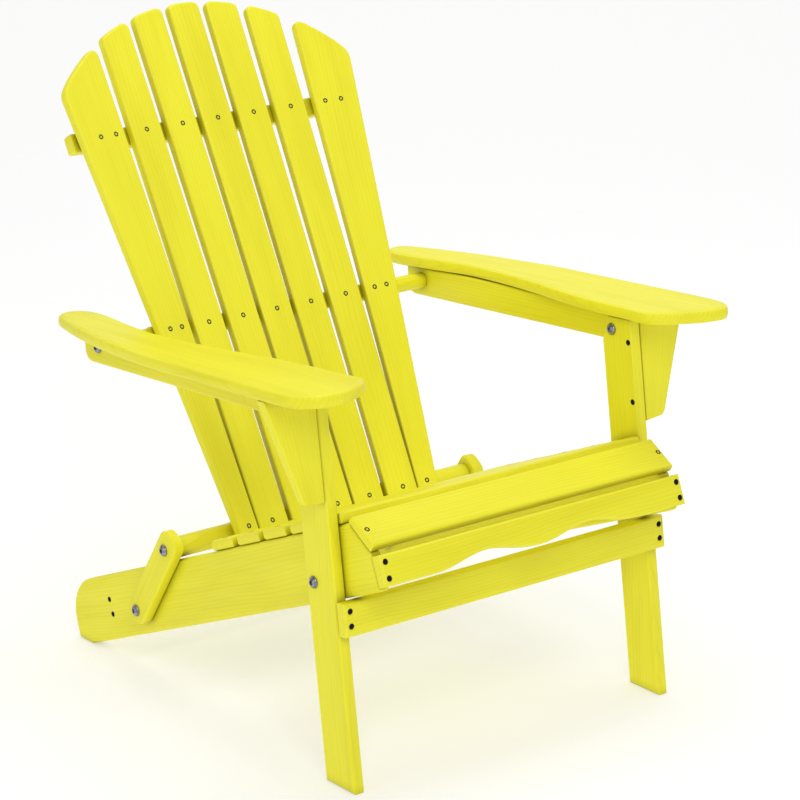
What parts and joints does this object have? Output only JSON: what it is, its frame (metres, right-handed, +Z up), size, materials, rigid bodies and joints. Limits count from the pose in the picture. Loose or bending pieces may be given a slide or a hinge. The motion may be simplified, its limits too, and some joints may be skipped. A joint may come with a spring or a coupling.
{
  "type": "folding garden armchair",
  "caption": "Folding slatted garden armchair with a fanned, dished back, wide arms and a sloping seat, in painted wood.",
  "frame": {"origin": "on the floor, at the middle of the chair's width and of its overall depth", "axes": "+X to the sitter's left, +Y to the rear, +Z up; the sitter faces -Y"},
  "size_m": [0.734, 0.8283, 0.9051],
  "materials": {
    "yellow_paint": "satin",
    "steel_bolts": "satin",
    "dark_screws": "satin"
  },
  "bodies": {
    "seat_frame": {"side_rail_left": "yellow_paint", "side_rail_right": "yellow_paint", "rear_crossbar": "yellow_paint", "front_apron": "yellow_paint", "seat_slat_1": "yellow_paint", "seat_slat_2": "yellow_paint", "seat_slat_3": "yellow_paint", "seat_slat_4": "yellow_paint", "seat_slat_5": "yellow_paint", "seat_slat_6": "yellow_paint", "apron_screw_1": "dark_screws", "apron_screw_2": "dark_screws", "apron_screw_3": "dark_screws", "apron_screw_4": "dark_screws", "crossbar_screw_left_1": "dark_screws", "crossbar_screw_left_2": "dark_screws", "crossbar_screw_right_1": "dark_screws", "crossbar_screw_right_2": "dark_screws"},
    "front_legs": {"front_leg_left": "yellow_paint", "front_leg_right": "yellow_paint", "arm_bracket_left": "yellow_paint", "arm_bracket_right": "yellow_paint", "front_stretcher": "yellow_paint", "leg_bolt_left": "steel_bolts", "leg_bolt_right": "steel_bolts", "arm_bolt_left": "steel_bolts", "arm_bolt_right": "steel_bolts", "stretcher_screw_1": "dark_screws", "stretcher_screw_2": "dark_screws", "stretcher_screw_3": "dark_screws", "stretcher_screw_4": "dark_screws", "bracket_screw_left_1": "dark_screws", "bracket_screw_left_2": "dark_screws", "bracket_screw_right_1": "dark_screws", "bracket_screw_right_2": "dark_screws"},
    "links": {"link_left": "yellow_paint", "link_right": "yellow_paint", "link_lower_bolt_left": "steel_bolts", "link_lower_bolt_right": "steel_bolts", "link_upper_bolt_left": "steel_bolts", "link_upper_bolt_right": "steel_bolts"},
    "back": {"back_slat_1": "yellow_paint", "back_slat_2": "yellow_paint", "back_slat_3": "yellow_paint", "back_slat_4": "yellow_paint", "back_slat_5": "yellow_paint", "back_slat_6": "yellow_paint", "back_slat_7": "yellow_paint", "top_batten": "yellow_paint", "middle_bar": "yellow_paint", "lower_bar": "yellow_paint"},
    "arms": {"arm_rail_left": "yellow_paint", "arm_rail_right": "yellow_paint", "armrest_left": "yellow_paint", "armrest_right": "yellow_paint", "back_bolt_left": "steel_bolts", "back_bolt_right": "steel_bolts"}
  },
  "joints": [
    {"name": "leg_pivot", "type": "hinge", "parent": "seat_frame", "child": "front_legs", "pos_m": [0, -0.2852, 0.273], "axis": [1, 0, 0], "range_deg": [0, 64]},
    {"name": "link_pivot", "type": "hinge", "parent": "seat_frame", "child": "links", "pos_m": [0, 0.1396, 0.1031], "axis": [1, 0, 0], "range_deg": [-74.05, 0]},
    {"name": "back_pivot", "type": "hinge", "parent": "links", "child": "back", "pos_m": [0, 0.0655, 0.2151], "axis": [1, 0, 0], "range_deg": [0, 168.4]},
    {"name": "arm_pivot", "type": "hinge", "parent": "back", "child": "arms", "pos_m": [0, 0.1903, 0.4844], "axis": [1, 0, 0], "range_deg": [-103.15, 0]}
  ],
  "couplings": [
    {"joint": "link_pivot", "follows": "leg_pivot", "ratio": -1.1562},
    {"joint": "back_pivot", "follows": "leg_pivot", "ratio": 2.6302},
    {"joint": "arm_pivot", "follows": "leg_pivot", "ratio": -1.6108}
  ]
}
